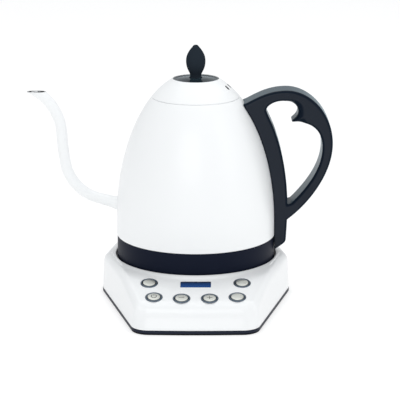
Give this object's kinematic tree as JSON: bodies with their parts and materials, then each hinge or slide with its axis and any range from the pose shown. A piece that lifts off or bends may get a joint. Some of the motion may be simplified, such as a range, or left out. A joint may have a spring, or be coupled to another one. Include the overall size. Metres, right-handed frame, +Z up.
{
  "type": "gooseneck kettle",
  "caption": "Electric gooseneck kettle with a domed lid and a loop handle, on a powered base with push buttons and a display.",
  "frame": {"origin": "on the kettle's axis, in the plane of the base's feet", "axes": "+Z up, -Y towards the control panel, -X towards the spout, +X towards the handle"},
  "size_m": [0.2684, 0.2037, 0.2246],
  "materials": {
    "body_enamel": "gloss",
    "spout_enamel": "gloss",
    "lid_enamel": "gloss",
    "base_enamel": "gloss",
    "vessel_steel": "brushed",
    "band_plastic": "satin",
    "bottom_plastic": "matte",
    "screw_steel": "plain",
    "plate_aluminium": "cast",
    "element_metal": "plain",
    "probe_steel": "plain",
    "cutout_plastic": "matte",
    "lead_rubber": "matte",
    "connector_plastic": "matte",
    "contact_brass": "plain",
    "handle_plastic": "satin",
    "bracket_steel": "plain",
    "liner_plastic": "matte",
    "gasket_rubber": "matte",
    "disc_gloss": "gloss",
    "knob_plastic": "satin",
    "tray_plastic": "satin",
    "foot_rubber": "matte",
    "board_green": "satin",
    "relay_plastic": "gloss",
    "transformer_tape": "satin",
    "capacitor_sleeve": "gloss",
    "terminal_plastic": "matte",
    "wire_rubber": "matte",
    "switch_plastic": "matte",
    "buzzer_plastic": "matte",
    "ribbon_plastic": "matte",
    "display_frame": "plain",
    "window_glass": "gloss",
    "bezel_chrome": "dark",
    "cap_silver": "satin",
    "gland_rubber": "matte",
    "clamp_plastic": "matte"
  },
  "bodies": {
    "base": {"base_cover": "base_enamel", "base_tray": "tray_plastic", "rubber_feet": "foot_rubber", "tray_screws": "screw_steel", "base_connector": "connector_plastic", "base_contacts": "contact_brass", "power_board": "board_green", "relay": "relay_plastic", "transformer": "transformer_tape", "filter_capacitors": "capacitor_sleeve", "terminal_block": "terminal_plastic", "base_wiring": "wire_rubber", "control_board": "board_green", "board_screws": "screw_steel", "button_switches": "switch_plastic", "buzzer": "buzzer_plastic", "ribbon_cable": "ribbon_plastic", "display_module": "display_frame", "display_window": "window_glass", "button_bezels": "bezel_chrome", "cord_gland": "gland_rubber", "cord_clamp": "clamp_plastic"},
    "contact_rings": {"kettle_contacts": "contact_brass"},
    "kettle": {"kettle_shell": "body_enamel", "vessel_floor": "vessel_steel", "spout_tube": "spout_enamel", "base_ring": "band_plastic", "bottom_cover": "bottom_plastic", "bottom_screws": "screw_steel", "heat_plate": "plate_aluminium", "heating_element": "element_metal", "temperature_probe": "probe_steel", "thermal_cutout": "cutout_plastic", "element_leads": "lead_rubber", "kettle_connector": "connector_plastic", "handle": "handle_plastic", "handle_bracket_upper": "bracket_steel", "handle_bracket_lower": "bracket_steel", "handle_screws": "screw_steel"},
    "lid": {"lid_shell": "lid_enamel", "lid_liner": "liner_plastic", "lid_gasket": "gasket_rubber", "knob_disc": "disc_gloss", "lid_knob": "knob_plastic", "knob_screw": "screw_steel"},
    "button_power": {"button_power": "cap_silver"},
    "button_minus": {"button_minus": "cap_silver"},
    "button_plus": {"button_plus": "cap_silver"},
    "button_hold": {"button_hold": "cap_silver"},
    "button_timer": {"button_timer": "cap_silver"},
    "button_units": {"button_units": "cap_silver"}
  },
  "joints": [
    {"name": "kettle_lift", "type": "slide", "parent": "base", "child": "contact_rings", "axis": [0, 0, 1], "range_m": [0, 0.15]},
    {"name": "kettle_turn", "type": "hinge", "parent": "contact_rings", "child": "kettle", "pos_m": [0, 0, 0.04], "axis": [0, 0, 1], "continuous": true},
    {"name": "lid_lift", "type": "slide", "parent": "kettle", "child": "lid", "axis": [0, 0, 1], "range_m": [0, 0.06]},
    {"name": "button_power_press", "type": "slide", "parent": "base", "child": "button_power", "axis": [0, 0.2334, -0.9724], "range_m": [0, 0.0008], "stiffness_N_per_m": 1500, "springref_m": -0.0006},
    {"name": "button_minus_press", "type": "slide", "parent": "base", "child": "button_minus", "axis": [0, 0.2334, -0.9724], "range_m": [0, 0.0008], "stiffness_N_per_m": 1500, "springref_m": -0.0006},
    {"name": "button_plus_press", "type": "slide", "parent": "base", "child": "button_plus", "axis": [0, 0.2334, -0.9724], "range_m": [0, 0.0008], "stiffness_N_per_m": 1500, "springref_m": -0.0006},
    {"name": "button_hold_press", "type": "slide", "parent": "base", "child": "button_hold", "axis": [0, 0.2334, -0.9724], "range_m": [0, 0.0008], "stiffness_N_per_m": 1500, "springref_m": -0.0006},
    {"name": "button_timer_press", "type": "slide", "parent": "base", "child": "button_timer", "axis": [0, 0.2334, -0.9724], "range_m": [0, 0.0008], "stiffness_N_per_m": 1500, "springref_m": -0.0006},
    {"name": "button_units_press", "type": "slide", "parent": "base", "child": "button_units", "axis": [0, 0.2334, -0.9724], "range_m": [0, 0.0008], "stiffness_N_per_m": 1500, "springref_m": -0.0006}
  ]
}
